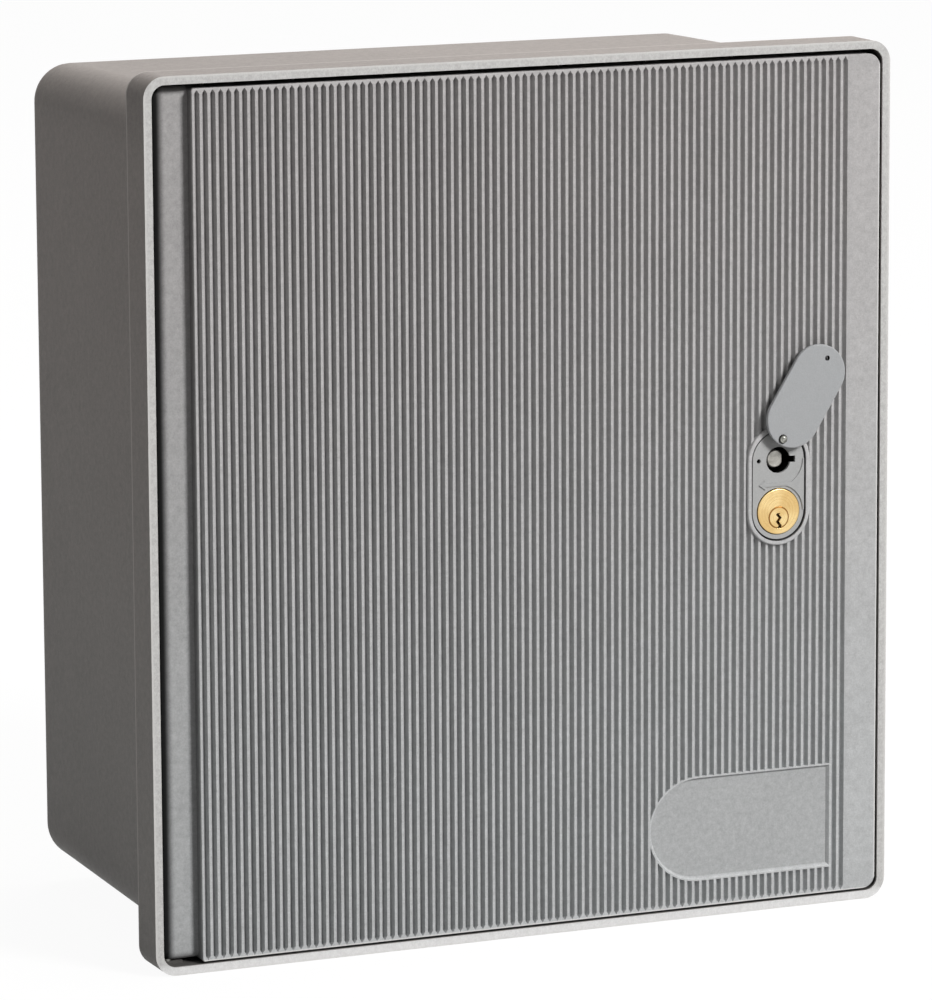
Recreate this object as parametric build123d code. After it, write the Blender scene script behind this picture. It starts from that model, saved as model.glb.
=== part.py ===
from build123d import *
import math
import os

os.makedirs("parts", exist_ok=True)

# Utility meter enclosure with a ribbed hinged door, in millimetres.
# +X is right seen from the front, +Y points at the wall and +Z is up.
# The origin is the centre of the wall fixing holes, on the outer back face.
# A depth is measured from the front face of the rim towards the wall.

# Housing
front_width = 440.0
front_height = 488.0
housing_depth = 230.0
wall = 4.6
rim_depth = 29.0
rim_step = 11.5
rim_corner_radius = 12.0
body_corner_radius = 25.0
body_draft_deg = 1.15
back_edge_radius = 11.0
step_edge_radius = 2.5

# Wall fixing holes in the back
fixing_spacing_x = 350.0
fixing_spacing_z = 390.0
fixing_hole_radius = 4.25
fixing_pad_radius = 14.0
fixing_pad_height = 3.0

# Door leaf
door_recess = 0.8
door_gap_right = 1.1
door_gap_top = 2.7
door_gap_bottom = 1.2
door_corner_radius = 7.5
door_small_radius = 1.5
door_skin = 2.7
door_lap = 1.0
panel_edge_radius = 0.5
door_flange = 3.5
door_stop_gap = 0.6
hinge_strip_width = 22.3
right_margin = 20.0

# Ribs of the door panel
rib_pitch = 4.5
rib_crest = 1.5
groove_depth = 2.8
groove_floor = 0.5
rib_band = 0.8
groove_tip = 2.2
groove_run_out = 1.2

# Stiffening web on the back of the door
web_thickness = 2.6
web_height = 7.5
web_from_edge = 95.0
web_from_hinge = 120.0

# Hinge
hinge_bead_radius = 5.5
hinge_side_gap = 0.4
hinge_strip_set_back = 6.2
hinge_strip_thickness = 4.0
hinge_end_gap = 0.5
strip_end_radius = 5.0
hinge_lug_height = 1.4
hinge_lug_front = 3.8
hinge_lug_left = 3.0
hinge_lug_right = 8.0
hinge_pin_radius = 2.5
hinge_pin_engagement = 26.0
hinge_pin_seat = 4.4
hinge_running_fit = 0.09

# Recess of the bare D-shaped plate on the door
plate_width = 112.8
plate_height = 60.0
plate_from_right = 28.1
plate_from_bottom = 14.8
plate_border = 0.9
plate_recess = 1.6
plate_bevel = 1.6
plate_steep = 0.7

# Lock group on the door
lock_from_right = 62.1
lock_height = 223.0
lock_axis_spacing = 29.0
ring_outer_width = 38.2
ring_wall = 2.3
ring_rise = 1.6
ring_edge_radius = 0.9
plate_gap = 1.1
lock_plate_rise = 0.6
lock_flange_clearance = 0.3
lock_flange_thickness = 2.5
key_hole_radius = 7.4
key_notch_reach = 10.4
key_notch_height = 3.6
key_mouth_wall = 1.6
key_chamber_margin = 1.2
seal_hole_radius = 1.25
seal_hole_offset = 12.0
zone_radius = 15.0
arrow_rise = 0.6
arrow_tip = 11.9
arrow_head = 3.8
arrow_head_height = 5.2
arrow_shaft = 2.0
arrow_z = -1.1

# Lock case behind the door
case_width = 38.0
case_depth = 18.0
case_wall = 2.4
case_ear_radius = 5.0
case_ear_offset_x = 23.0
case_ear_offset_z = 22.0
screw_radius = 1.9
screw_head_radius = 3.6
screw_head_height = 2.4
screw_head_chamfer = 0.8
screw_clearance = 0.2
screw_engagement = 2.2
screw_run_out = 2.0

# Lock cylinder
head_radius = 12.8
head_height = 3.0
head_proud = 0.8
head_clearance = 0.45
head_edge_radius = 0.5
barrel_radius = 11.0
barrel_clearance = 0.1
barrel_flat = 9.6
nut_across_flats = 27.0
nut_height = 4.0
barrel_end = 1.0
plug_radius = 6.2
plug_drop = 3.4
plug_fit = 0.05
plug_proud = 0.2
plug_edge_radius = 0.35
keyway_height = 8.8
keyway_width = 1.9
keyway_drop = 1.9
keyway_swing = 0.85
keyway_depth = 14.0
square_tail = 5.0
tail_fit = 0.02

# Key spindle of the upper hole
spindle_radius = 5.0
spindle_face_depth = 4.3
spindle_flat = 4.0
spindle_chamfer = 0.6
spindle_collar_radius = 6.6
spindle_collar_thickness = 3.0
spindle_collar_gap = 0.4
spindle_fit = 0.08

# Latch arms and their keeper
arm_thickness = 2.5
arm_gap = 0.8
arm_shoulder_gap = 0.3
arm_width = 12.0
arm_reach = 43.0
arm_screw_radius = 4.0
arm_screw_height = 2.5
keeper_thickness = 2.0
keeper_clearance = 0.3
keeper_corner_radius = 3.0
keeper_lip = 16.0
keeper_leaf = 20.0
keeper_height = 72.0
keeper_screw_spacing = 56.0
keeper_boss_radius = 6.5
keeper_boss_height = 4.0

# Swivelling lock cover
cover_width = 32.4
cover_length = 61.6
cover_thickness = 2.5
cover_edge_radius = 0.6
cover_stand_off = 2.3
cover_lean_deg = 32.0
rivet_from_end = 3.6
rivet_rise = 12.7
rivet_radius = 1.5
rivet_head_radius = 2.6
rivet_head_height = 1.7
rivet_head_shoulder = 0.72
rivet_fit = 0.08
cover_hole_radius = 1.35
cover_hole_spacing = 51.5
washer_radius = 3.4
washer_thickness = 0.6
running_gap = 0.1

# Meter board
board_width = 320.0
board_height = 360.0
board_thickness = 6.0
board_corner_radius = 8.0
board_hole_spacing_x = 280.0
board_hole_spacing_z = 320.0
boss_height = 22.0
boss_radius = 8.0
insert_radius = 4.0
insert_length = 14.0
board_screw_radius = 2.9
board_screw_clearance = 0.4
board_screw_head_radius = 5.5
board_screw_head_height = 3.2
board_sink_clearance = 0.3
board_screw_sink = 0.5
board_screw_grip = 10.0

# Cable entries in the bottom wall
entry_radius = 18.0
entry_spacing = 110.0
entry_from_wall = 105.0
grommet_neck_clearance = 0.2
grommet_neck_wall = 3.0
grommet_flange = 4.5
grommet_lip = 2.4
grommet_lip_taper = 1.2
grommet_play = 0.6
grommet_membrane = 1.6
grommet_dome_height = 3.0
grommet_dome_foot = 13.2
grommet_dome_top = 6.0

# Ventilation lugs in the gap above the door
vent_lug_pitch = 51.9
vent_lug_count = 7
vent_lug_from_left = 35.6
vent_lug_width = 1.8
vent_lug_clearance = 0.7
vent_lug_set_back = 8.0

# How far a cut or a joined part runs past the face it crosses
overrun = 1.0

# Worked out from the sizes above
front_y = -housing_depth
step_y = front_y + rim_depth
ledge_y = step_y - wall
half_width = front_width / 2
half_height = front_height / 2

crest_y = front_y + door_recess
panel_back_y = crest_y + groove_depth + door_skin
flange_back_y = ledge_y - door_stop_gap
inner_left = -half_width + wall
inner_right = half_width - wall
inner_top = half_height - wall
inner_bottom = -half_height + wall
door_right = inner_right - door_gap_right
door_top = inner_top - door_gap_top
door_bottom = inner_bottom + door_gap_bottom
panel_left = inner_left + hinge_side_gap + hinge_strip_width

hinge_x = inner_left + hinge_side_gap + hinge_bead_radius
strip_y = crest_y + hinge_strip_set_back
hinge_y = strip_y + hinge_bead_radius
lug_top_z = inner_top - hinge_lug_height
lug_bottom_z = inner_bottom + hinge_lug_height
strip_top = lug_top_z - hinge_end_gap
strip_bottom = lug_bottom_z + hinge_end_gap

lock_x = door_right - lock_from_right
cylinder_z = inner_bottom + lock_height
spindle_z = cylinder_z + lock_axis_spacing
lock_mid_z = (cylinder_z + spindle_z) / 2
plate_width_inner = ring_outer_width - 2 * ring_wall - 2 * plate_gap
lock_plate_y = crest_y - lock_plate_rise
lock_flange_back_y = panel_back_y + lock_flange_thickness
case_back_y = lock_flange_back_y + case_depth
nut_back_y = case_back_y + nut_height
keeper_y = step_y + keeper_clearance
arm_y = keeper_y + keeper_thickness + arm_gap
plug_z = cylinder_z - plug_drop

cover_back_y = crest_y - ring_rise - cover_stand_off
cover_front_y = cover_back_y - cover_thickness
rivet_z = spindle_z + rivet_rise
body_inner_right = half_width - rim_step - wall


def front_plane(y, x=0.0, z=0.0):
    """Plane that faces the front, with its own Y axis pointing up."""
    return Plane(origin=(x, y, z), x_dir=(1, 0, 0), z_dir=(0, -1, 0))


def prism(outline, y_front, y_back):
    """Solid of a front-view outline between two depths."""
    return extrude(front_plane(y_back) * outline, amount=y_back - y_front)


def rod(radius, x, z, y_front, y_back):
    """Round bar along the depth."""
    return prism(Pos(x, z) * Circle(radius), y_front, y_back)


def upright(radius, x, y, z_low, z_high):
    """Round bar along the height."""
    return extrude(Plane.XY.offset(z_low) * Pos(x, y) * Circle(radius), amount=z_high - z_low)


def box_between(x, y, z):
    """Block between two limits on each axis."""
    size = (x[1] - x[0], y[1] - y[0], z[1] - z[0])
    middle = ((x[0] + x[1]) / 2, (y[0] + y[1]) / 2, (z[0] + z[1]) / 2)
    return Pos(*middle) * Box(*size)


def obround(width, length):
    """Upright outline with two round ends."""
    return SlotOverall(length, width, rotation=90)


def four_corners(spacing_x, spacing_z):
    """The corners of a centred rectangle."""
    return [(sx * spacing_x / 2, sz * spacing_z / 2) for sx in (-1, 1) for sz in (-1, 1)]


def drafted_body(inset, y_front, y_back):
    """Tapering block of the body, inset from its outer skin."""
    outline = RectangleRounded(
        front_width - 2 * rim_step - 2 * inset,
        front_height - 2 * rim_step - 2 * inset,
        body_corner_radius - inset,
    )
    start = Plane(origin=(0, y_front, 0), x_dir=(1, 0, 0), z_dir=(0, 1, 0))
    return extrude(start * outline, amount=y_back - y_front, taper=body_draft_deg)


# Housing
def make_housing():
    """One-piece moulded box with a drafted body and a stepped rim."""
    body = drafted_body(0, step_y, 0)
    body = fillet(body.faces().sort_by(Axis.Y)[-1].edges(), back_edge_radius)
    rim = prism(RectangleRounded(front_width, front_height, rim_corner_radius), front_y, step_y)
    rim = fillet(rim.faces().sort_by(Axis.Y)[-1].edges(), step_edge_radius)
    shell = body + rim

    pocket_radius = rim_corner_radius - wall
    pocket = RectangleRounded(front_width - 2 * wall, front_height - 2 * wall, pocket_radius)
    cavity = drafted_body(wall, step_y - wall, -wall)
    cavity = fillet(cavity.faces().sort_by(Axis.Y)[-1].edges(), back_edge_radius - wall)
    shell = shell - prism(pocket, front_y, ledge_y) - cavity

    lug_back = ledge_y + wall / 2
    lug_front = hinge_y - hinge_lug_front
    for z_in, z_out in ((lug_top_z, half_height - wall / 2), (lug_bottom_z, -half_height + wall / 2)):
        z_range = (min(z_in, z_out), max(z_in, z_out))
        x_range = (hinge_x - hinge_lug_left, hinge_x + hinge_lug_right)
        lug = box_between(x_range, (lug_front, lug_back), z_range)
        shell = shell + lug

    for x, z in four_corners(fixing_spacing_x, fixing_spacing_z):
        shell = shell + rod(fixing_pad_radius, x, z, -wall - fixing_pad_height, -wall / 2)
    for x, z in four_corners(board_hole_spacing_x, board_hole_spacing_z):
        shell = shell + rod(boss_radius, x, z, -wall - boss_height, -wall / 2)
    for z in keeper_screw_heights():
        shell = shell + keeper_boss(z)
    for index in range(vent_lug_count):
        shell = shell + vent_lug(-half_width + vent_lug_from_left + index * vent_lug_pitch)

    for x, z in four_corners(fixing_spacing_x, fixing_spacing_z):
        shell = shell - rod(fixing_hole_radius, x, z, -wall - 2 * fixing_pad_height, wall)
    for x, z in four_corners(board_hole_spacing_x, board_hole_spacing_z):
        shell = shell - rod(insert_radius, x, z, -wall - boss_height, -wall - boss_height + insert_length)
    for side in (-1, 1):
        entry_x = side * entry_spacing / 2
        shell = shell - upright(entry_radius, entry_x, -entry_from_wall, -half_height, -half_height / 2)
    for z_low, z_high in pin_spans():
        shell = shell - upright(hinge_pin_radius, hinge_x, hinge_y, z_low, z_high)
    for z in keeper_screw_heights():
        shell = shell - keeper_screw_hole(z)
    return shell


def vent_lug(x):
    """Short lug that keeps the ventilation gap above the door open."""
    half = vent_lug_width / 2
    y_range = (front_y + vent_lug_set_back, ledge_y + wall / 2)
    return box_between((x - half, x + half), y_range, (door_top + vent_lug_clearance, half_height - wall / 2))


def keeper_screw_heights():
    """Heights of the two keeper screws."""
    return [lock_mid_z - keeper_screw_spacing / 2, lock_mid_z + keeper_screw_spacing / 2]


def keeper_leaf_y():
    """Middle depth of the keeper leaf that lies on the side wall."""
    return keeper_y + keeper_leaf / 2


def keeper_face_x():
    """Inner face of the bosses that carry the keeper."""
    return body_inner_right - keeper_boss_height


def side_rod(radius, y, z, x_low, x_high):
    """Round bar along the width."""
    start = Plane(origin=(x_low, y, z), x_dir=(0, 1, 0), z_dir=(1, 0, 0))
    return extrude(start * Circle(radius), amount=x_high - x_low)


def keeper_boss(z):
    """Moulded boss on the side wall under the keeper."""
    return side_rod(keeper_boss_radius, keeper_leaf_y(), z, keeper_face_x(), body_inner_right + wall / 2)


def keeper_screw_hole(z):
    """Blind hole for a keeper screw."""
    depth = keeper_boss_height + wall / 2
    return side_rod(screw_radius, keeper_leaf_y(), z, keeper_face_x(), keeper_face_x() + depth)


def pin_spans():
    """Height limits of the lower and the upper hinge pin."""
    lower = (lug_bottom_z - hinge_pin_seat, strip_bottom + hinge_pin_engagement)
    upper = (strip_top - hinge_pin_engagement, lug_top_z + hinge_pin_seat)
    return [lower, upper]


# Door
def door_outline(inset=0.0):
    """Front-view outline of the panel, with large corners at its right."""
    width = door_right - panel_left - 2 * inset
    height = door_top - door_bottom - 2 * inset
    centre = Pos((door_right + panel_left) / 2, (door_top + door_bottom) / 2)
    outline = Rectangle(width, height)
    corners = outline.vertices()
    outline = fillet(corners.group_by(Axis.X)[-1], door_corner_radius - inset)
    outline = fillet(outline.vertices().group_by(Axis.X)[0], door_small_radius)
    return centre * outline


def pointed_slot(width, length):
    """Upright slot outline whose two ends come to a point."""
    half = width / 2
    shoulder = length / 2 - groove_tip * width / (rib_pitch - rib_crest)
    points = [
        (0, length / 2), (half, shoulder), (half, -shoulder),
        (0, -length / 2), (-half, -shoulder), (-half, shoulder),
    ]
    return make_face(Polyline(*points, close=True))


def rib_grooves():
    """All grooves between the ribs, narrowing to a point at both ends."""
    groove = rib_pitch - rib_crest
    length = door_top - door_bottom - 2 * rib_band
    middle = (door_top + door_bottom) / 2
    mouth = front_plane(crest_y) * pointed_slot(groove, length)
    floor = front_plane(crest_y + groove_depth) * pointed_slot(groove_floor, length - 2 * groove_run_out)
    single = loft([mouth, floor], ruled=True)
    first = panel_left + rib_crest + groove / 2
    usable = door_right - right_margin - first
    count = int(usable // rib_pitch) + 1
    return [Pos(first + index * rib_pitch, 0, middle) * single for index in range(count)]


def d_outline(low_right, high_left):
    """D-shaped outline, round at its left end, with an inset for each pair of sides."""
    radius = (plate_height - low_right - high_left) / 2
    right = door_right - plate_from_right - low_right
    left = door_right - plate_from_right - plate_width + high_left
    middle = door_bottom + plate_from_bottom + low_right + radius
    straight = right - left - radius
    block = Pos(left + radius + straight / 2, middle) * Rectangle(straight, 2 * radius)
    return block + Pos(left + radius, middle) * Circle(radius)


def lock_outline(width):
    """Upright obround round the two axes of the lock."""
    return Pos(lock_x, lock_mid_z) * obround(width, width + lock_axis_spacing)


def make_hinge_strip():
    """Rounded strip along the hinge axis, with domed ends that clear the corner of the rim."""
    length = strip_top - strip_bottom
    middle = (strip_top + strip_bottom) / 2
    bead = upright(hinge_bead_radius, hinge_x, hinge_y, strip_bottom, strip_top)
    bead = fillet(bead.edges().filter_by(GeomType.CIRCLE), strip_end_radius)

    right = panel_left + door_flange
    plate_middle = strip_y + hinge_strip_thickness / 2
    plate = Pos((hinge_x + right) / 2, plate_middle) * Rectangle(right - hinge_x, hinge_strip_thickness)
    lip_depth = flange_back_y - hinge_y
    lip = Pos(hinge_x + door_flange / 2, hinge_y + lip_depth / 2) * Rectangle(door_flange, lip_depth)
    leaf = extrude(Plane.XY.offset(strip_bottom) * (plate + lip), amount=length)

    depth = flange_back_y - strip_y
    side_view = Rectangle(depth, length)
    side_view = fillet(side_view.vertices().group_by(Axis.X)[0], strip_end_radius)
    side_plane = Plane(origin=(hinge_x, strip_y + depth / 2, middle), x_dir=(0, 1, 0), z_dir=(1, 0, 0))
    return bead + (leaf & extrude(side_plane * side_view, amount=right - hinge_x))


def make_door():
    """Moulded door leaf with ribs, hinge strip, lock ring and plate recess."""
    panel = prism(door_outline(), crest_y, panel_back_y)
    front_edges = panel.faces().sort_by(Axis.Y)[0].edges()
    panel = fillet(front_edges, panel_edge_radius)
    panel = panel - rib_grooves()

    skirt = door_outline() - door_outline(door_flange)
    leaf = panel + prism(skirt, panel_back_y - door_lap, flange_back_y)
    leaf = leaf + make_hinge_strip()
    leaf = cut_plate_recess(leaf)

    ring = prism(lock_outline(ring_outer_width), crest_y - ring_rise, panel_back_y)
    ring = fillet(ring.faces().sort_by(Axis.Y)[0].edges(), ring_edge_radius)
    opening_width = ring_outer_width - 2 * ring_wall
    opening = prism(lock_outline(opening_width), crest_y - 2 * ring_rise, panel_back_y + overrun)
    leaf = leaf + ring - opening

    for x, z in case_screw_places():
        leaf = leaf + rod(case_ear_radius, x, z, panel_back_y - door_lap, lock_flange_back_y)
    leaf = leaf + door_webs()
    hole_front = lock_flange_back_y - screw_engagement - screw_run_out
    for x, z in case_screw_places():
        leaf = leaf - rod(screw_radius, x, z, hole_front, lock_flange_back_y)
    for z_low, z_high in pin_spans():
        bore = hinge_pin_radius + hinge_running_fit
        leaf = leaf - upright(bore, hinge_x, hinge_y, z_low - overrun, z_high + overrun)
    return leaf


def cut_plate_recess(leaf):
    """Leaf with the bordered, bevelled recess of the D-shaped plate."""
    leaf = leaf + prism(d_outline(0, 0), crest_y, panel_back_y - door_lap)
    mouth = front_plane(crest_y) * d_outline(plate_border, plate_border)
    floor = d_outline(plate_border + plate_bevel, plate_border + plate_steep)
    return leaf - loft([mouth, front_plane(crest_y + plate_recess) * floor])


def door_webs():
    """Moulded stiffening webs across the back of the leaf."""
    left = panel_left + door_flange / 2
    right = door_right - door_flange / 2
    low = door_bottom + door_flange / 2
    high = door_top - door_flange / 2
    y_range = (panel_back_y - door_lap, panel_back_y + web_height)
    webs = []
    half = web_thickness / 2
    lock_left = lock_x - case_ear_offset_x - case_ear_radius - web_thickness
    for z in (low + web_from_edge, high - web_from_edge):
        webs.append(box_between((left, right), y_range, (z - half, z + half)))
    for x in (left + web_from_hinge, lock_left):
        webs.append(box_between((x - half, x + half), y_range, (low, high)))
    return webs


# Lock
def case_screw_places():
    """Front-view places of the four lock case screws."""
    places = []
    for side in (-1, 1):
        for height in (-1, 1):
            places.append((lock_x + side * case_ear_offset_x, lock_mid_z + height * case_ear_offset_z))
    return places


def key_hole_outline(margin=0.0):
    """Round key hole with a notch at its right, grown by a margin."""
    reach = key_notch_reach + margin
    notch = Pos(lock_x + reach / 2, spindle_z) * Rectangle(reach, key_notch_height + 2 * margin)
    return Pos(lock_x, spindle_z) * Circle(key_hole_radius + margin) + notch


def arrow_outline():
    """Arrow that points left, with its tail in the raised field."""
    tip = lock_x - arrow_tip
    base = tip + arrow_head
    tail = lock_x + zone_radius / 2
    half_head = arrow_head_height / 2
    half_shaft = arrow_shaft / 2
    points = [
        (tip, arrow_z), (base, arrow_z + half_head), (base, arrow_z + half_shaft),
        (tail, arrow_z + half_shaft), (tail, arrow_z - half_shaft),
        (base, arrow_z - half_shaft), (base, arrow_z - half_head),
    ]
    return make_face(Polyline(*points, close=True))


def raised_field_outline():
    """Field at the right between the round zones of the key hole and the cylinder."""
    half = plate_width_inner / 2
    field = Pos(lock_x + half / 2, lock_mid_z) * Rectangle(half, lock_axis_spacing)
    for z in (spindle_z, cylinder_z):
        field = field - Pos(lock_x, z) * Circle(zone_radius)
    return field + arrow_outline()


def make_lock_plate():
    """Front plate of the lock, seated in the ring of the door."""
    plate = prism(lock_outline(plate_width_inner), lock_plate_y, panel_back_y)
    flange_width = 2 * (case_ear_offset_x - case_ear_radius - lock_flange_clearance)
    plate = plate + prism(lock_outline(flange_width), panel_back_y, lock_flange_back_y)
    plate = plate + prism(raised_field_outline(), lock_plate_y - arrow_rise, lock_plate_y + arrow_rise)
    post_front = cover_back_y + washer_thickness + running_gap
    plate = plate + rod(washer_radius, lock_x, rivet_z, post_front, panel_back_y)

    front = lock_plate_y - 2 * overrun
    back = lock_flange_back_y + overrun
    plate = plate - prism(key_hole_outline(), front, back)
    chamber = prism(key_hole_outline(key_chamber_margin), lock_plate_y + key_mouth_wall, back)
    seal = rod(seal_hole_radius, lock_x - seal_hole_offset, spindle_z, front, back)
    head_seat_y = lock_plate_y - head_proud + head_height
    seat = rod(head_radius + head_clearance, lock_x, cylinder_z, front, head_seat_y)
    bore = rod(barrel_radius + barrel_clearance, lock_x, cylinder_z, front, back)
    shank = rod(rivet_radius, lock_x, rivet_z, cover_front_y, panel_back_y + overrun)
    return plate - chamber - seal - seat - bore - shank


def make_lock_case():
    """Deep moulded case behind the plate, open at its front."""
    inner_width = case_width - 2 * case_wall
    hollow = prism(lock_outline(inner_width), lock_flange_back_y - overrun, case_back_y - case_wall)
    case = prism(lock_outline(case_width), lock_flange_back_y, case_back_y)
    ear_back_y = lock_flange_back_y + case_wall
    for x, z in case_screw_places():
        ear = rod(case_ear_radius, x, z, lock_flange_back_y, ear_back_y)
        x_range = (min(lock_x, x), max(lock_x, x))
        z_range = (z - case_ear_radius, z + case_ear_radius)
        case = case + ear + box_between(x_range, (lock_flange_back_y, ear_back_y), z_range)
    case = case - hollow
    front = lock_flange_back_y - overrun
    for x, z in case_screw_places():
        case = case - rod(screw_radius + screw_clearance, x, z, front, ear_back_y + overrun)
    back = case_back_y + overrun
    case = case - rod(spindle_radius + spindle_fit, lock_x, spindle_z, front, back)
    return case - rod(barrel_radius + barrel_clearance, lock_x, cylinder_z, front, back)


def make_case_screws():
    """Four screws that hold the lock case to the door."""
    screws = []
    head_y = lock_flange_back_y + case_wall
    for x, z in case_screw_places():
        shank = rod(screw_radius, x, z, lock_flange_back_y - screw_engagement, head_y)
        head = rod(screw_head_radius, x, z, head_y, head_y + screw_head_height)
        head = chamfer(head.faces().sort_by(Axis.Y)[-1].edges(), screw_head_chamfer)
        screws.append(shank + head)
    return Compound(children=screws)


def square_bar(side, x, z, y_front, y_back):
    """Square bar along the depth."""
    return prism(Pos(x, z) * Rectangle(side, side), y_front, y_back)


def make_cylinder_body():
    """Brass lock cylinder with a round head and a flatted barrel."""
    head_front = lock_plate_y - head_proud
    head = rod(head_radius, lock_x, cylinder_z, head_front, head_front + head_height)
    head = fillet(head.faces().sort_by(Axis.Y)[0].edges(), head_edge_radius)
    barrel_back = nut_back_y + barrel_end
    barrel = rod(barrel_radius, lock_x, cylinder_z, head_front + overrun, barrel_back)
    across = Pos(lock_x, cylinder_z) * Rectangle(2 * barrel_flat, 4 * barrel_radius)
    barrel = barrel & prism(across, head_front, barrel_back + overrun)
    body = head + barrel
    return body - rod(plug_radius + plug_fit, lock_x, plug_z, head_front - overrun, barrel_back + overrun)


def make_cylinder_nut():
    """Hexagon nut that clamps the cylinder behind the case."""
    hexagon = RegularPolygon(nut_across_flats / 2, 6, major_radius=False)
    nut = prism(Pos(lock_x, cylinder_z) * hexagon, case_back_y, nut_back_y)
    return nut - rod(barrel_radius, lock_x, cylinder_z, case_back_y - overrun, nut_back_y + overrun)


def keyway_outline():
    """Upright wavy slot for the key."""
    half = keyway_height / 2
    low = plug_z - keyway_drop - half
    steps = [(0, 0.0), (1, 0.2), (-1, 0.45), (1, 0.7), (-1, 0.9), (0, 1.0)]
    line = [(lock_x + side * keyway_swing, low + part * keyway_height) for side, part in steps]
    left = [(x - keyway_width / 2, z) for x, z in line]
    right = [(x + keyway_width / 2, z) for x, z in reversed(line)]
    return make_face(Polyline(*left, *right, close=True))


def make_cylinder_plug():
    """Turning core of the cylinder, with its keyway and a square tail."""
    front = lock_plate_y - head_proud - plug_proud
    plug = rod(plug_radius, lock_x, plug_z, front, arm_y - arm_shoulder_gap)
    plug = fillet(plug.faces().sort_by(Axis.Y)[0].edges(), plug_edge_radius)
    tail = square_bar(square_tail, lock_x, plug_z, arm_y - overrun, arm_y + arm_thickness)
    return plug + tail - prism(keyway_outline(), front - overrun, front + keyway_depth)


def arm_solid(z, direction):
    """Flat latch arm that points up or down at rest."""
    outline = Pos(lock_x, z + direction * arm_reach / 2 - direction * arm_width / 4)
    length = arm_reach + arm_width / 2
    arm = prism(outline * obround(arm_width, length), arm_y, arm_y + arm_thickness)
    hole = square_bar(square_tail + 2 * tail_fit, lock_x, z, arm_y - overrun, arm_y + arm_thickness + overrun)
    return arm - hole


def arm_screw(z):
    """Screw that holds a latch arm on its square tail."""
    head = rod(arm_screw_radius, lock_x, z, arm_y + arm_thickness, arm_y + arm_thickness + arm_screw_height)
    return chamfer(head.faces().sort_by(Axis.Y)[-1].edges(), screw_head_chamfer)


def make_key_spindle():
    """Spindle with a flatted key end, turning in the case."""
    face_y = lock_plate_y + spindle_face_depth
    spindle = rod(spindle_radius, lock_x, spindle_z, face_y, arm_y - arm_shoulder_gap)
    collar_back = case_back_y - case_wall - spindle_collar_gap
    collar_y = collar_back - spindle_collar_thickness
    cut_range = (lock_x + spindle_flat, lock_x + 2 * spindle_radius)
    cut_height = (spindle_z - 2 * spindle_radius, spindle_z + 2 * spindle_radius)
    flat = box_between(cut_range, (face_y - overrun, collar_y), cut_height)
    spindle = chamfer(spindle.faces().sort_by(Axis.Y)[0].edges(), spindle_chamfer) - flat
    collar = rod(spindle_collar_radius, lock_x, spindle_z, collar_y, collar_back)
    tail = square_bar(square_tail, lock_x, spindle_z, arm_y - overrun, arm_y + arm_thickness)
    return spindle + collar + tail


def make_keeper_plate():
    """Folded steel angle on the side wall, behind which the arms turn."""
    x_face = keeper_face_x()
    z_low = lock_mid_z - keeper_height / 2
    z_high = lock_mid_z + keeper_height / 2
    leaf_range = (x_face - keeper_thickness, x_face)
    leaf = box_between(leaf_range, (keeper_y, keeper_y + keeper_leaf), (z_low, z_high))
    lip = box_between((x_face - keeper_lip, x_face), (keeper_y, keeper_y + keeper_thickness), (z_low, z_high))
    plate = leaf + lip
    corner = Vector(x_face, keeper_y, lock_mid_z)
    bend = plate.edges().filter_by(Axis.Z).sort_by_distance(corner)[0]
    plate = fillet(bend, keeper_thickness)
    lip_corners = plate.edges().filter_by(Axis.Y).sort_by(Axis.X)[:2]
    plate = fillet(lip_corners, keeper_corner_radius)
    hole_radius = screw_radius + screw_clearance
    for z in keeper_screw_heights():
        plate = plate - side_rod(hole_radius, keeper_leaf_y(), z, x_face - keeper_lip, x_face + overrun)
    return plate


def make_keeper_screws():
    """Two screws through the keeper into the side wall."""
    x_face = keeper_face_x() - keeper_thickness
    x_tip = x_face + keeper_thickness + keeper_boss_height
    screws = []
    for z in keeper_screw_heights():
        shank = side_rod(screw_radius, keeper_leaf_y(), z, x_face, x_tip)
        head = side_rod(screw_head_radius, keeper_leaf_y(), z, x_face - screw_head_height, x_face)
        head = chamfer(head.faces().sort_by(Axis.X)[0].edges(), screw_head_chamfer)
        screws.append(shank + head)
    return Compound(children=screws)


# Swivelling cover
def make_lock_cover():
    """Obround cover plate, leaning as it rests on its rivet."""
    centre_drop = cover_length / 2 - rivet_from_end
    plate = prism(Pos(0, centre_drop) * obround(cover_width, cover_length), cover_front_y, cover_back_y)
    plate = fillet(plate.faces().sort_by(Axis.Y)[0].edges(), cover_edge_radius)
    front = cover_front_y - overrun
    back = cover_back_y + overrun
    plate = plate - rod(rivet_radius + rivet_fit, 0, 0, front, back)
    plate = plate - rod(cover_hole_radius, 0, cover_hole_spacing, front, back)
    return Pos(lock_x, 0, rivet_z) * Rot(0, cover_lean_deg, 0) * plate


def make_cover_rivet():
    """Domed rivet that the cover swivels on."""
    head_y = cover_front_y - running_gap
    shank = rod(rivet_radius, lock_x, rivet_z, head_y - running_gap, panel_back_y - door_lap)
    shoulder = (rivet_head_radius * rivet_head_shoulder, rivet_head_height * rivet_head_shoulder)
    arc = ThreePointArc((0, rivet_head_height), shoulder, (rivet_head_radius, 0))
    half = make_face([Line((0, 0), (0, rivet_head_height)), arc, Line((rivet_head_radius, 0), (0, 0))])
    dome = revolve(half, Axis.Y)
    dome = Pos(lock_x, head_y, rivet_z) * Rot(180, 0, 0) * dome
    return shank + dome


def make_cover_washer():
    """Thin washer between the cover and the lock plate."""
    y_front = cover_back_y + running_gap
    ring = Pos(lock_x, rivet_z) * (Circle(washer_radius) - Circle(rivet_radius + 0.02))
    return prism(ring, y_front, y_front + washer_thickness)


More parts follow.
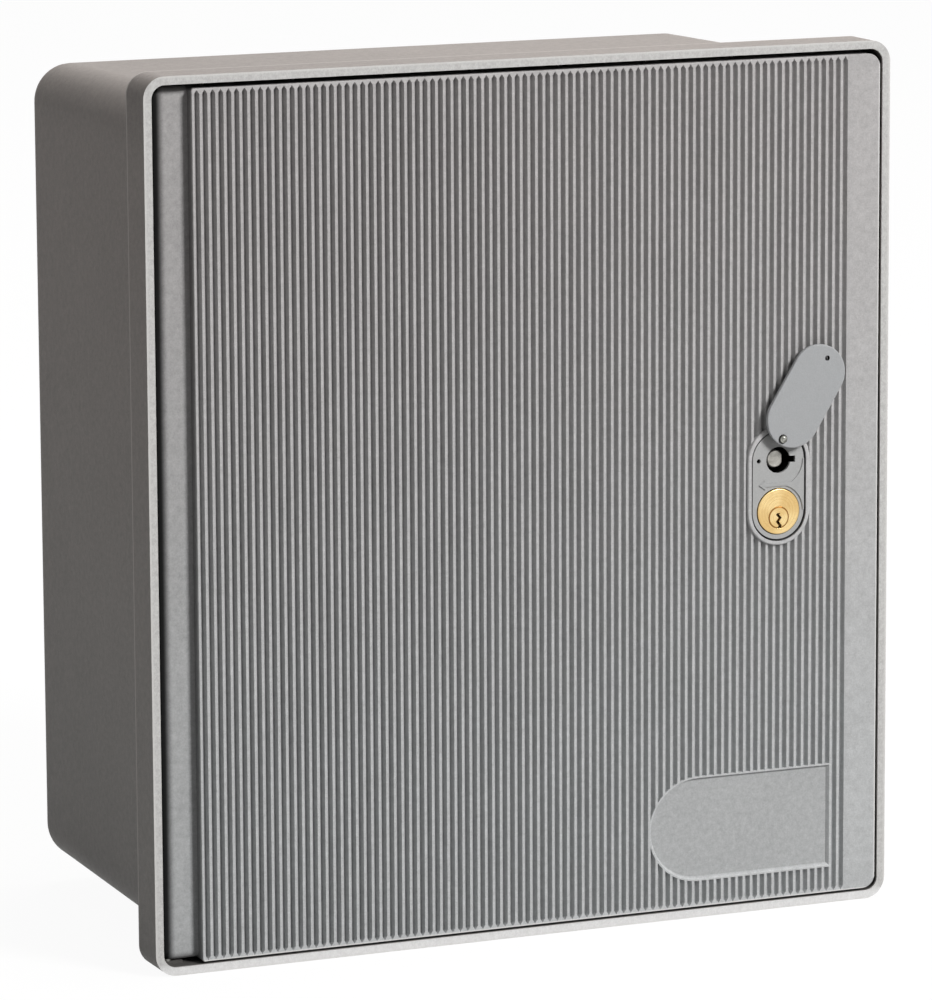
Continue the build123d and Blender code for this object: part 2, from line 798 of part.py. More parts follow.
# Inside the housing
def make_meter_board():
    """Mounting board on the bosses of the back wall."""
    outline = RectangleRounded(board_width, board_height, board_corner_radius)
    for x, z in four_corners(board_hole_spacing_x, board_hole_spacing_z):
        outline = outline - Pos(x, z) * Circle(board_screw_radius + board_screw_clearance)
    back = -wall - boss_height
    face = back - board_thickness
    board = prism(outline, face, back)
    sink_radius = board_screw_head_radius + board_sink_clearance
    for x, z in four_corners(board_hole_spacing_x, board_hole_spacing_z):
        board = board - rod(sink_radius, x, z, face, face + board_screw_sink + board_screw_head_height)
    return board


def make_board_screws():
    """Four screws through the board into the moulded inserts."""
    screws = []
    face = -wall - boss_height - board_thickness
    head_y = face + board_screw_sink
    tip_y = face + board_thickness + board_screw_grip
    for x, z in four_corners(board_hole_spacing_x, board_hole_spacing_z):
        shank = rod(board_screw_radius, x, z, head_y, tip_y)
        head = rod(board_screw_head_radius, x, z, head_y, head_y + board_screw_head_height)
        screws.append(shank + head)
    return Compound(children=screws)


def make_board_inserts():
    """Four brass inserts moulded into the bosses."""
    inserts = []
    face = -wall - boss_height
    for x, z in four_corners(board_hole_spacing_x, board_hole_spacing_z):
        ring = Pos(x, z) * (Circle(insert_radius) - Circle(board_screw_radius))
        inserts.append(prism(ring, face, face + insert_length))
    return Compound(children=inserts)


def make_grommet(side):
    """Membrane grommet in a cable entry of the bottom wall."""
    drop = (housing_depth - rim_depth - entry_from_wall) * math.tan(math.radians(body_draft_deg))
    wall_out = -half_height + rim_step + drop
    wall_in = wall_out + wall
    neck = entry_radius - grommet_neck_clearance
    bore = neck - grommet_neck_wall
    outer = entry_radius + grommet_flange
    under = wall_out - grommet_play
    foot = under - grommet_lip
    dome = foot - grommet_dome_height
    above = wall_in + grommet_play
    points = [
        (0, dome), (grommet_dome_top, dome), (grommet_dome_foot, foot), (outer - grommet_lip_taper, foot),
        (outer, under), (neck, under), (neck, above), (outer, above),
        (outer - grommet_lip_taper, above + grommet_lip), (bore, above + grommet_lip),
        (bore, foot + grommet_membrane), (grommet_dome_foot - grommet_membrane / 2, foot + grommet_membrane),
        (grommet_dome_top - grommet_membrane / 2, dome + grommet_membrane), (0, dome + grommet_membrane),
    ]
    half = make_face(Plane.XZ * Polyline(*points, close=True))
    return Pos(side * entry_spacing / 2, -entry_from_wall, 0) * revolve(half, Axis.Z)


def write(name, shape):
    """Write one named piece."""
    shape.label = name
    export_step(shape, f"parts/{name}.step")


write("housing", make_housing())
write("door", make_door())
for pin_name, (pin_low, pin_high) in zip(("lower_hinge_pin", "upper_hinge_pin"), pin_spans()):
    write(pin_name, upright(hinge_pin_radius, hinge_x, hinge_y, pin_low, pin_high))
write("lock_plate", make_lock_plate())
write("lock_case", make_lock_case())
write("lock_case_screws", make_case_screws())
write("cylinder_body", make_cylinder_body())
write("cylinder_nut", make_cylinder_nut())
write("cylinder_plug", make_cylinder_plug())
write("cylinder_cam", arm_solid(plug_z, -1))
write("cam_screw", arm_screw(plug_z))
write("key_spindle", make_key_spindle())
write("latch_arm", arm_solid(spindle_z, 1))
write("latch_screw", arm_screw(spindle_z))
write("keeper_plate", make_keeper_plate())
write("keeper_screws", make_keeper_screws())
write("lock_cover", make_lock_cover())
write("cover_rivet", make_cover_rivet())
write("cover_washer", make_cover_washer())
write("meter_board", make_meter_board())
write("board_screws", make_board_screws())
write("board_inserts", make_board_inserts())
for entry_name, entry_side in (("left_cable_grommet", -1), ("right_cable_grommet", 1)):
    write(entry_name, make_grommet(entry_side))
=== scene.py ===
"""Looks of a moulded meter enclosure with a ribbed door and a lock under a swivelling cover."""
import logging
import math
from dataclasses import dataclass
from enum import Enum
from typing import Callable, Optional, Sequence

import bmesh
import bpy
from mathutils import Matrix, Vector


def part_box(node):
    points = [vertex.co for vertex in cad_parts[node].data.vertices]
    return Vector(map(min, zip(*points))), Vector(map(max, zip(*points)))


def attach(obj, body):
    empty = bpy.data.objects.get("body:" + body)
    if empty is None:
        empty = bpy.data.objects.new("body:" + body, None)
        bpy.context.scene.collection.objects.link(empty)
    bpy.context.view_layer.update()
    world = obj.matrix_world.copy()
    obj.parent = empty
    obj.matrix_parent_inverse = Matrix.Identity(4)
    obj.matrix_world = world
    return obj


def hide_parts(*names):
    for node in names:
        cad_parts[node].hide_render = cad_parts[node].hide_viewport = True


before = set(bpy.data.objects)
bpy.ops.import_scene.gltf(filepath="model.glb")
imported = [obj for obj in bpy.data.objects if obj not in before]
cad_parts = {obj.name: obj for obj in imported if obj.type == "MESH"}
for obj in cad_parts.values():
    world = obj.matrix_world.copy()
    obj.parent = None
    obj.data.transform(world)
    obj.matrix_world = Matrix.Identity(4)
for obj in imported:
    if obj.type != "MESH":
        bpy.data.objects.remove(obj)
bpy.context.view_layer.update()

logging.basicConfig(level=logging.INFO, format="%(message)s")
log = logging.getLogger("enclosure")

Colour = tuple[float, float, float]

CLOUD_SCALE = 22.0
BLOTCH_SCALE = 290.0
SPECK_SCALE = 1100.0
FIBRE_SCALE = 620.0
SKIN_SCALE = 1300.0
SKIN_WAVE_SCALE = 60.0
SKIN_WAVE = 0.8
SKIN_BLOTCH = 0.8
SKIN_DEPTH = 0.00006
MERGE_DISTANCE = 1e-6


def srgb(red: float, green: float, blue: float) -> Colour:
    """Linear colour of a display colour.

    Args:
        red: red from 0 to 255.
        green: green from 0 to 255.
        blue: blue from 0 to 255.

    Returns:
        The colour in linear light.
    """
    def linear(value: float) -> float:
        """Linear light of one channel."""
        part = value / 255.0
        return part / 12.92 if part <= 0.04045 else ((part + 0.055) / 1.055) ** 2.4

    return linear(red), linear(green), linear(blue)


FIBRE_TONE = srgb(214, 214, 210)


class Facing(Enum):
    """The side that a screw head faces, as its outward direction."""

    FRONT = (0.0, -1.0, 0.0)
    BACK = (0.0, 1.0, 0.0)
    LEFT = (-1.0, 0.0, 0.0)


class Graph:
    """Adds and joins the nodes of a material or a group."""

    def __init__(self, tree: bpy.types.NodeTree) -> None:
        """Keeps the tree that is filled."""
        self.tree = tree

    def add(self, kind: str, **values: object) -> bpy.types.Node:
        """Adds one node.

        Args:
            kind: node type without its ShaderNode prefix.
            values: properties of the node.

        Returns:
            The new node.
        """
        node = self.tree.nodes.new("ShaderNode" + kind)
        for name, value in values.items():
            setattr(node, name, value)
        return node

    def set(self, node: bpy.types.Node, **inputs: object) -> bpy.types.Node:
        """Sets or links a node's inputs, named with underscores for spaces.

        Args:
            node: the node.
            inputs: a socket to link, or a plain value.

        Returns:
            The same node.
        """
        for name, value in inputs.items():
            socket = node.inputs[name.replace("_", " ")]
            self.feed(socket, value)
        return node

    def feed(self, socket: bpy.types.NodeSocket, value: object) -> None:
        """Links a socket or sets its value."""
        if isinstance(value, bpy.types.NodeSocket):
            self.tree.links.new(value, socket)
        elif isinstance(value, tuple) and len(value) == 3 and socket.type == "RGBA":
            socket.default_value = (*value, 1.0)
        else:
            socket.default_value = value

    def math(self, operation: str, *values: object, clamp: bool = False) -> bpy.types.NodeSocket:
        """One math node.

        Args:
            operation: Blender's name of the operation.
            values: sockets or numbers, in order.
            clamp: keeps the result from 0 to 1.

        Returns:
            The result socket.
        """
        node = self.add("Math", operation=operation, use_clamp=clamp)
        for socket, value in zip(node.inputs, values):
            self.feed(socket, value)
        return node.outputs[0]

    def mix(self, factor: object, first: object, second: object, blend: str = "MIX") -> bpy.types.NodeSocket:
        """Mixes two colours.

        Args:
            factor: how much of the second colour shows.
            first: colour or socket.
            second: colour or socket.
            blend: blend type.

        Returns:
            The mixed colour.
        """
        node = self.add("Mix", data_type="RGBA", blend_type=blend, clamp_factor=True)
        self.feed(node.inputs[0], factor)
        self.feed(node.inputs[6], first)
        self.feed(node.inputs[7], second)
        return node.outputs[2]

    def ramp(self, value: object, low: float, high: float, start: float = 0.0,
             end: float = 1.0) -> bpy.types.NodeSocket:
        """Maps a value from one range to another, smoothly and clamped.

        Args:
            value: the value to map.
            low: value that gives start.
            high: value that gives end.
            start: result at low.
            end: result at high.

        Returns:
            The mapped value.
        """
        node = self.add("MapRange", interpolation_type="SMOOTHSTEP")
        self.set(node, Value=value, From_Min=low, From_Max=high, To_Min=start, To_Max=end)
        return node.outputs[0]

    def noise(self, vector: object, scale: object, detail: float = 3.0, roughness: float = 0.55,
              distortion: float = 0.0) -> bpy.types.NodeSocket:
        """Noise from 0 to 1 at a point."""
        node = self.add("TexNoise")
        self.set(node, Vector=vector, Scale=scale, Detail=detail, Roughness=roughness, Distortion=distortion)
        return node.outputs["Fac"]

    def object_point(self, stretch: Optional[Sequence[float]] = None, centre: Sequence[float] = (0, 0, 0),
                     turn: Sequence[float] = (0, 0, 0)) -> bpy.types.NodeSocket:
        """Object coordinates, moved so that centre is the origin, then scaled.

        Args:
            stretch: scale on each axis.
            centre: point that becomes the origin, in metres.
            turn: turn about each axis, in radians.

        Returns:
            The point.
        """
        point = self.add("TexCoord").outputs["Object"]
        moved = self.add("VectorMath", operation="SUBTRACT")
        self.feed(moved.inputs[0], point)
        self.feed(moved.inputs[1], Vector(centre))
        mapping = self.add("Mapping")
        self.set(mapping, Vector=moved.outputs[0])
        mapping.inputs["Rotation"].default_value = turn
        mapping.inputs["Scale"].default_value = stretch or (1, 1, 1)
        return mapping.outputs[0]

    def shade(self, factor: object, colour: object) -> bpy.types.NodeSocket:
        """Colour times a factor."""
        scaled = self.add("VectorMath", operation="SCALE")
        self.feed(scaled.inputs[0], colour)
        self.feed(scaled.inputs["Scale"], factor)
        return scaled.outputs[0]

    def reach(self, across: object, up: object) -> bpy.types.NodeSocket:
        """Distance from an axis, of two distances at right angles."""
        squares = [self.math("MULTIPLY", side, side) for side in (across, up)]
        return self.math("SQRT", self.math("ADD", *squares))

    def swing(self, pattern: object, amount: object) -> bpy.types.NodeSocket:
        """A pattern from 0 to 1 as a swing to both sides of none, times an amount."""
        return self.math("MULTIPLY", self.math("SUBTRACT", pattern, 0.5), amount)

    def split(self, vector: object) -> tuple[bpy.types.NodeSocket, ...]:
        """The three parts of a vector."""
        node = self.add("SeparateXYZ")
        self.feed(node.inputs[0], vector)
        return node.outputs[0], node.outputs[1], node.outputs[2]


class Group:
    """A shader node group with named inputs and outputs, built once."""

    def __init__(self, name: str, inputs: dict[str, object], outputs: dict[str, str],
                 build: Callable[[Graph, dict, dict], None]) -> None:
        """Builds the group.

        Args:
            name: plain name of the effect.
            inputs: default of each input, a number or a colour.
            outputs: socket type word of each output, value, colour or normal.
            build: fills the group, from the input sockets to the output sockets.
        """
        kinds = {"value": "NodeSocketFloat", "colour": "NodeSocketColor", "normal": "NodeSocketVector"}
        self.tree = bpy.data.node_groups.new(name, "ShaderNodeTree")
        for label, default in inputs.items():
            kind = kinds["colour"] if isinstance(default, tuple) else kinds["value"]
            socket = self.tree.interface.new_socket(label, in_out="INPUT", socket_type=kind)
            socket.default_value = (*default, 1.0) if isinstance(default, tuple) else default
        for label, kind in outputs.items():
            self.tree.interface.new_socket(label, in_out="OUTPUT", socket_type=kinds[kind])
        graph = Graph(self.tree)
        entry = self.tree.nodes.new("NodeGroupInput")
        leave = self.tree.nodes.new("NodeGroupOutput")
        build(graph, entry.outputs, leave.inputs)

    def place(self, graph: Graph, **inputs: object) -> bpy.types.NodeOutputs:
        """Puts the group in a material.

        Args:
            graph: the material's graph.
            inputs: values or sockets, named with underscores for spaces.

        Returns:
            The group's outputs.
        """
        node = graph.tree.nodes.new("ShaderNodeGroup")
        node.node_tree = self.tree
        graph.set(node, **inputs)
        return node.outputs


def build_mottle(graph: Graph, given: dict, out: dict) -> None:
    """Cloudy, fine-grained tone of a moulded compound with a few pale fibres."""
    point = graph.object_point()
    cloud = graph.noise(point, CLOUD_SCALE, 2.0, 0.6)
    blotch = graph.noise(point, BLOTCH_SCALE, 3.0, 0.7)
    grain = graph.noise(point, SPECK_SCALE, 1.0, 0.6)
    tone = graph.math("ADD", graph.swing(cloud, given["Cloud"]), graph.swing(blotch, given["Blotch"]))
    tone = graph.math("ADD", tone, graph.swing(grain, given["Grain"]))
    scaled = graph.shade(graph.math("ADD", 1.0, tone), given["Colour"])
    fibre = graph.noise(graph.object_point(stretch=(1.0, 1.0, 0.35)), FIBRE_SCALE, 1.0, 0.5)
    spot = graph.math("MULTIPLY", graph.ramp(fibre, 0.74, 0.82), given["Fibres"])
    graph.feed(out["Colour"], graph.mix(spot, scaled, FIBRE_TONE))
    graph.feed(out["Blotch"], blotch)


def build_grain(graph: Graph, given: dict, out: dict) -> None:
    """Height of a moulded skin: fine orange peel and a slow waviness."""
    point = graph.object_point()
    fine = graph.noise(point, given["Scale"], 2.0, 0.5)
    slow = graph.noise(point, SKIN_WAVE_SCALE, 2.0, 0.5)
    ripple = graph.math("MULTIPLY", slow, given["Wave"])
    graph.feed(out["Height"], graph.math("ADD", graph.math("MULTIPLY", fine, given["Fine"]), ripple))


def build_turned(graph: Graph, given: dict, out: dict) -> None:
    """Concentric tool marks, and the bow-tie pattern of a turned face's sheen, which is painted into the
    colour as a painted reflection.
    """
    across, up = given["Across"], given["Up"]
    radius = graph.reach(across, up)
    ring = graph.add("CombineXYZ")
    graph.feed(ring.inputs[0], graph.math("MULTIPLY", radius, given["Scale"]))
    marks = graph.noise(ring.outputs[0], 1.0, 3.0, 0.75)
    angle = graph.math("ARCTAN2", up, across)
    turned = graph.math("ADD", graph.math("MULTIPLY", angle, 2.0), given["Turn"])
    sheen = graph.math("MULTIPLY_ADD", graph.math("COSINE", turned), 0.5, 0.5)
    graph.feed(out["Marks"], marks)
    graph.feed(out["Sheen"], sheen)
    graph.feed(out["Radius"], radius)


MOTTLE = Group("moulded_mottle", {"Colour": (0.4, 0.4, 0.4), "Cloud": 0.1, "Blotch": 0.3, "Grain": 0.2,
                                  "Fibres": 0.5}, {"Colour": "colour", "Blotch": "value"}, build_mottle)
GRAIN = Group("moulded_grain", {"Scale": 1400.0, "Fine": 1.0, "Wave": 1.0}, {"Height": "value"}, build_grain)
TURNED = Group("turned_marks", {"Across": 0.0, "Up": 0.0, "Scale": 9000.0, "Turn": 0.0},
               {"Marks": "value", "Sheen": "value", "Radius": "value"}, build_turned)


def new_material(name: str) -> tuple[bpy.types.Material, Graph, bpy.types.Node]:
    """An empty material with its shader.

    Args:
        name: name of the finish.

    Returns:
        The material, its graph and its shader node.
    """
    material = bpy.data.materials.new(name)
    material.use_nodes = True
    material.node_tree.nodes.clear()
    graph = Graph(material.node_tree)
    shader = graph.add("BsdfPrincipled")
    output = graph.add("OutputMaterial")
    material.node_tree.links.new(shader.outputs[0], output.inputs[0])
    return material, graph, shader


def bump(graph: Graph, height: object, distance: float, normal: object = None,
         strength: float = 1.0) -> bpy.types.NodeSocket:
    """Normal of a height in metres times distance.

    Args:
        graph: the material's graph.
        height: height socket.
        distance: depth of a height of one, in metres.
        normal: normal to start from.
        strength: strength of the effect.

    Returns:
        The bumped normal.
    """
    node = graph.add("Bump")
    graph.set(node, Height=height, Distance=distance, Strength=strength)
    if normal is not None:
        graph.set(node, Normal=normal)
    return node.outputs[0]


def soft_edges(graph: Graph, radius: float) -> bpy.types.NodeSocket:
    """Normal that rounds the edges by a small radius, in metres."""
    node = graph.add("Bevel", samples=4)
    node.inputs["Radius"].default_value = radius
    return node.outputs[0]


def uneven_roughness(graph: Graph, pattern: object, roughness: float) -> bpy.types.NodeSocket:
    """Roughness that follows a pattern, from a fifth below to three tenths above the given one."""
    return graph.ramp(pattern, 0.3, 0.7, roughness * 0.8, roughness * 1.3)


@dataclass(frozen=True)
class MouldedCompound:
    """Finish of fibre-filled moulding compound.

    The tone drifts slowly from a warm grey at the top to a cooler grey at the foot. Where the foot's grey is
    the lighter one, as on the door, the drift is also painted light that evens out the key lamp's falloff
    from top to foot.
    """

    name: str
    warm: Colour
    cool: Colour
    roughness: float = 0.5
    specular: float = 0.10
    cloud: float = 0.12
    blotch: float = 0.50
    grain: float = 0.32
    fibres: float = 0.2
    drift_height: float = 0.22

    def colour(self, graph: Graph) -> tuple[bpy.types.NodeSocket, bpy.types.NodeSocket]:
        """Colour and blotch pattern of the bare compound."""
        _, _, height = graph.split(graph.object_point())
        # Drift from top to foot: a tint, and where the foot is lighter, also painted light against the lamp's
        # falloff.
        tint_and_painted_light = graph.ramp(height, self.drift_height, -self.drift_height)
        base = graph.mix(tint_and_painted_light, self.warm, self.cool)
        outputs = MOTTLE.place(graph, Colour=base, Cloud=self.cloud, Blotch=self.blotch, Grain=self.grain,
                               Fibres=self.fibres)
        return outputs["Colour"], outputs["Blotch"]

    def normal(self, graph: Graph, blotch: bpy.types.NodeSocket) -> bpy.types.NodeSocket:
        """Normal of the moulded skin."""
        height = GRAIN.place(graph, Scale=SKIN_SCALE, Fine=1.0, Wave=SKIN_WAVE)["Height"]
        total = graph.math("ADD", height, graph.math("MULTIPLY", blotch, SKIN_BLOTCH))
        return bump(graph, total, SKIN_DEPTH)

    def finish(self, graph: Graph, shader: bpy.types.Node, colour: object,
               blotch: bpy.types.NodeSocket) -> None:
        """Feeds the shader.

        Args:
            graph: the material's graph.
            shader: the material's shader.
            colour: the colour that shows.
            blotch: the blotch pattern.
        """
        graph.set(shader, Base_Color=colour, Normal=self.normal(graph, blotch))
        graph.set(shader, Roughness=self.roughness, Specular_IOR_Level=self.specular)

    def material(self) -> bpy.types.Material:
        """Builds the material."""
        material, graph, shader = new_material(self.name)
        colour, blotch = self.colour(graph)
        self.finish(graph, shader, colour, blotch)
        return material


@dataclass(frozen=True)
class TrimmedRim:
    """Housing compound with a rough, pale trimmed edge on its front face, painted shade on the top and in the
    door gap, and a paler line along the rim's rear edge; the paler band along the front face's outer edge is
    partly wear and partly a painted highlight.
    """

    base: MouldedCompound
    front_y: float
    half_width: float
    half_height: float
    wall: float = 0.0046
    top_shade: float = 0.20
    top_side_share: float = 0.55
    top_band: tuple[float, float] = (0.19, 0.235)
    top_sides: tuple[float, float] = (0.10, -0.20)
    gap_dusk: float = 0.24
    gap_start: float = 0.0003
    gap_full: float = 0.0022
    gap_fade: float = 0.022
    gap_end: float = 0.030
    step_depth: float = 0.0266
    step_pale_share: float = 0.7
    step_band: tuple[float, float] = (0.0014, 0.0005)
    step_tone: Colour = srgb(222, 218, 214)
    torn_relief: float = 2.4
    torn_band: tuple[float, float] = (0.34, 0.66)
    coarse_scale: float = 330.0
    coarse_share: float = 0.6
    fine_scale: float = 1300.0
    fine_share: float = 0.4
    foot_top: float = -0.236
    foot_low: float = -0.241
    low_tones: tuple[Colour, Colour] = (srgb(190, 189, 188), srgb(226, 226, 226))
    high_tones: tuple[Colour, Colour] = (srgb(214, 214, 212), srgb(242, 242, 242))
    wear_highlight_tone: Colour = srgb(228, 227, 224)
    wear_highlight_share: float = 0.5
    wear_highlight_waver: float = 0.0016
    wear_highlight_band: tuple[float, float] = (0.0022, 0.0012)
    face_roughness: float = 0.75
    face_full: float = 0.0002
    face_end: float = 0.0009

    def inset(self, graph: Graph, across: object, up: object) -> bpy.types.NodeSocket:
        """Distance in from the nearest outer side."""
        side = graph.math("SUBTRACT", self.half_width, graph.math("ABSOLUTE", across))
        level = graph.math("SUBTRACT", self.half_height, graph.math("ABSOLUTE", up))
        return graph.math("MINIMUM", side, level)

    def top_painted_shade(self, graph: Graph, across: object, up: object) -> bpy.types.NodeSocket:
        """Painted shade on the top of the box, stronger at the left."""
        band = graph.math("MULTIPLY", graph.ramp(up, *self.top_band),
                          graph.ramp(across, *self.top_sides, self.top_side_share, 1.0))
        return graph.math("MULTIPLY", band, self.top_shade)

    def gap_painted_shade(self, graph: Graph, inset: object, depth: object) -> bpy.types.NodeSocket:
        """Painted shade on the wall beside the door, which ends behind the door's edge."""
        wall = graph.math("MULTIPLY", graph.ramp(inset, self.wall - 0.0006, self.wall - 0.0001),
                          graph.ramp(depth, self.front_y + self.gap_start, self.front_y + self.gap_full))
        gap_shade = graph.math("MULTIPLY", wall, graph.ramp(depth, self.front_y + self.gap_end,
                                                        self.front_y + self.gap_fade))
        return graph.math("MULTIPLY", gap_shade, 1.0 - self.gap_dusk)

    def step_pale_line(self, graph: Graph, inset: object, depth: object) -> bpy.types.NodeSocket:
        """Paler line along the rear edge of the rim."""
        away = graph.math("ABSOLUTE", graph.math("SUBTRACT", depth, self.front_y + self.step_depth))
        pale_line = graph.math("MULTIPLY", graph.ramp(away, *self.step_band),
                            graph.ramp(inset, self.wall - 0.0004, self.wall - 0.0020))
        return graph.math("MULTIPLY", pale_line, self.step_pale_share)

    def trimmed_tone(self, graph: Graph, inset: object, up: object, coarse: object,
                     torn: object) -> bpy.types.NodeSocket:
        """Colour of the trimmed face, paler at the foot and along its outer edge, where the paler band is
        partly wear and partly a painted highlight of the rounded edge.

        Args:
            graph: the material's graph.
            inset: distance in from the nearest outer side.
            up: height.
            coarse: coarse part of the torn pattern.
            torn: torn pattern of the trimmed face.

        Returns:
            The colour of the face.
        """
        foot = graph.ramp(up, self.foot_top, self.foot_low)
        low_tone = graph.mix(foot, *self.low_tones)
        high_tone = graph.mix(foot, *self.high_tones)
        pale = graph.mix(graph.ramp(torn, *self.torn_band), low_tone, high_tone)
        # Paler outer band: partly wear, partly a painted highlight of the rounded outer edge.
        wavering = graph.math("ADD", inset, graph.math("MULTIPLY", coarse, self.wear_highlight_waver))
        wear_highlight = graph.ramp(wavering, *self.wear_highlight_band)
        return graph.mix(graph.math("MULTIPLY", wear_highlight, self.wear_highlight_share), pale, self.wear_highlight_tone)

    def material(self) -> bpy.types.Material:
        """Builds the material."""
        material, graph, shader = new_material(self.base.name)
        colour, _ = self.base.colour(graph)
        point = graph.object_point()
        across, depth, up = graph.split(point)
        inset = self.inset(graph, across, up)
        # Painted shade on the top, stronger at the left.
        colour = graph.shade(graph.math("SUBTRACT", 1.0, self.top_painted_shade(graph, across, up)), colour)
        # Painted shade on the wall of the door gap.
        colour = graph.shade(graph.math("SUBTRACT", 1.0, self.gap_painted_shade(graph, inset, depth)), colour)
        colour = graph.mix(self.step_pale_line(graph, inset, depth), colour, self.step_tone)

        coarse = graph.noise(point, self.coarse_scale, 4.0, 0.75)
        fine = graph.noise(graph.object_point(stretch=(1.0, 1.0, 0.6)), self.fine_scale, 2.0, 0.7)
        torn = graph.math("ADD", graph.math("MULTIPLY", coarse, self.coarse_share),
                          graph.math("MULTIPLY", fine, self.fine_share))
        pale = self.trimmed_tone(graph, inset, up, coarse, torn)
        face = graph.ramp(depth, self.front_y + self.face_end, self.front_y + self.face_full)
        shown = graph.mix(face, colour, pale)

        height = GRAIN.place(graph, Scale=SKIN_SCALE, Fine=1.0, Wave=SKIN_WAVE)["Height"]
        relief = graph.math("MULTIPLY", graph.math("MULTIPLY", torn, face), self.torn_relief)
        total = graph.math("ADD", height, relief)
        graph.set(shader, Base_Color=shown, Normal=bump(graph, total, SKIN_DEPTH))
        graph.set(shader, Roughness=graph.ramp(face, 0.0, 1.0, self.base.roughness, self.face_roughness))
        graph.set(shader, Specular_IOR_Level=self.base.specular)
        return material


@dataclass(frozen=True)
class RibbedLeaf:
    """Door compound with painted shade in the grooves, on the hinge strip, round the lock and on the walls in
    the gap, painted light in the grooves towards the right, and a painted highlight along its front edge.
    """

    base: MouldedCompound
    crest_y: float
    left: float
    right: float
    low: float
    lock: tuple[float, float]
    lock_straight: float
    opening_radius: float = 0.0169
    opening_dusk: float = 0.85
    plate_depth: float = 0.0017
    groove_depth: float = 0.0028
    strip_width: float = 0.0224
    bead_start: float = 0.0042
    bead_end: float = 0.0095
    bead_dusk: tuple[float, float] = (0.14, 0.98)
    right_margin: float = 0.020
    groove_left: float = 0.42
    groove_right: float = 0.0
    groove_painted_light: float = 0.24
    painted_light_start: float = 0.4
    painted_light_end: float = 0.7
    tilt: tuple[float, float] = (0.985, 1.03)
    crest_lighten: float = 0.10
    plate_tone: float = 0.88
    edge_shade: float = 0.50
    edge_highlight_share: float = 0.85
    edge_highlight_band: tuple[float, float] = (0.0011, 0.0004)
    edge_highlight_tone: Colour = srgb(240, 240, 238)

    def grooves(self, graph: Graph, depth: object) -> bpy.types.NodeSocket:
        """Mask of what lies deep in the grooves."""
        return graph.ramp(depth, self.crest_y + self.plate_depth, self.crest_y + self.groove_depth)

    def groove_dusk(self, graph: Graph, across: object, depth: object) -> bpy.types.NodeSocket:
        """Painted shade in the rib grooves, deeper at the left of the leaf."""
        panel = graph.ramp(across, self.left + self.strip_width - 0.0006, self.left + self.strip_width)
        amount = graph.ramp(across, self.left, self.right, self.groove_left, self.groove_right)
        return graph.math("MULTIPLY", graph.math("MULTIPLY", self.grooves(graph, depth), panel), amount)

    def strip_dusk(self, graph: Graph, across: object) -> bpy.types.NodeSocket:
        """Painted shade on the hinge strip, which lies behind the rim, darkest on its rounded left bead."""
        bead = graph.ramp(across, self.left + self.bead_end, self.left + self.bead_start, *self.bead_dusk)
        strip = graph.math("LESS_THAN", across, self.left + self.strip_width - 0.0003)
        return graph.math("MULTIPLY", bead, strip)

    def lock_dusk(self, graph: Graph, across: object, depth: object, up: object) -> bpy.types.NodeSocket:
        """Painted shade on the wall round the lock plate."""
        aside = graph.math("SUBTRACT", across, self.lock[0])
        along = graph.math("ABSOLUTE", graph.math("SUBTRACT", up, self.lock[1]))
        past = graph.math("MAXIMUM", graph.math("SUBTRACT", along, self.lock_straight / 2), 0.0)
        inside = graph.math("LESS_THAN", graph.reach(aside, past), self.opening_radius)
        deep = graph.ramp(depth, self.crest_y - 0.0012, self.crest_y, 0.0, self.opening_dusk)
        return graph.math("MULTIPLY", inside, deep)

    def level_tone(self, graph: Graph, across: object, depth: object) -> bpy.types.NodeSocket:
        """Brightness of the lighter crests, the grooves and the sunk plate, times a tilt across the leaf; the
        grooves' lift towards the right is painted light.
        """
        from_strip = graph.ramp(across, self.left + self.strip_width - 0.0004, self.left + self.strip_width)
        to_margin = graph.math("LESS_THAN", across, self.right - self.right_margin)
        ribs = graph.math("MULTIPLY", from_strip, to_margin)
        crest = graph.math("MULTIPLY", ribs, graph.ramp(depth, self.crest_y + 0.0009, self.crest_y + 0.0001))
        plate = graph.math("MULTIPLY", ribs, graph.ramp(depth, self.crest_y + 0.0010, self.crest_y + 0.0015))
        bright = graph.math("ADD", 1.0, graph.math("MULTIPLY", crest, self.crest_lighten))
        # Painted light in the grooves, growing towards the right of the leaf.
        groove_light = graph.ramp(across, self.left * self.painted_light_start, self.right * self.painted_light_end, 0.0,
                          self.groove_painted_light)
        deep = graph.math("MULTIPLY", ribs, self.grooves(graph, depth))
        bright = graph.math("ADD", bright, graph.math("MULTIPLY", deep, groove_light))
        dim = graph.math("SUBTRACT", 1.0, graph.math("MULTIPLY", plate, 1.0 - self.plate_tone))
        tilt = graph.ramp(across, self.left, self.right, *self.tilt)
        return graph.math("MULTIPLY", graph.math("MULTIPLY", bright, dim), tilt)

    def edge_dusk(self, graph: Graph, inset: object, depth: object) -> bpy.types.NodeSocket:
        """Painted shade on the walls of the leaf in the gap round it."""
        wall = graph.ramp(inset, 0.0005, 0.0002)
        deep = graph.ramp(depth, self.crest_y + 0.0006, self.crest_y + 0.0018, 0.0, self.edge_shade)
        return graph.math("MULTIPLY", wall, deep)

    def edge_painted_highlight(self, graph: Graph, inset: object, depth: object) -> bpy.types.NodeSocket:
        """Painted highlight along the front edge of the leaf."""
        rim = graph.ramp(inset, *self.edge_highlight_band)
        front = graph.ramp(depth, self.crest_y + 0.0008, self.crest_y + 0.0004)
        return graph.math("MULTIPLY", graph.math("MULTIPLY", rim, front), self.edge_highlight_share)

    def material(self) -> bpy.types.Material:
        """Builds the material."""
        material, graph, shader = new_material(self.base.name)
        colour, blotch = self.base.colour(graph)
        across, depth, up = graph.split(graph.object_point())
        colour = graph.shade(self.level_tone(graph, across, depth), colour)
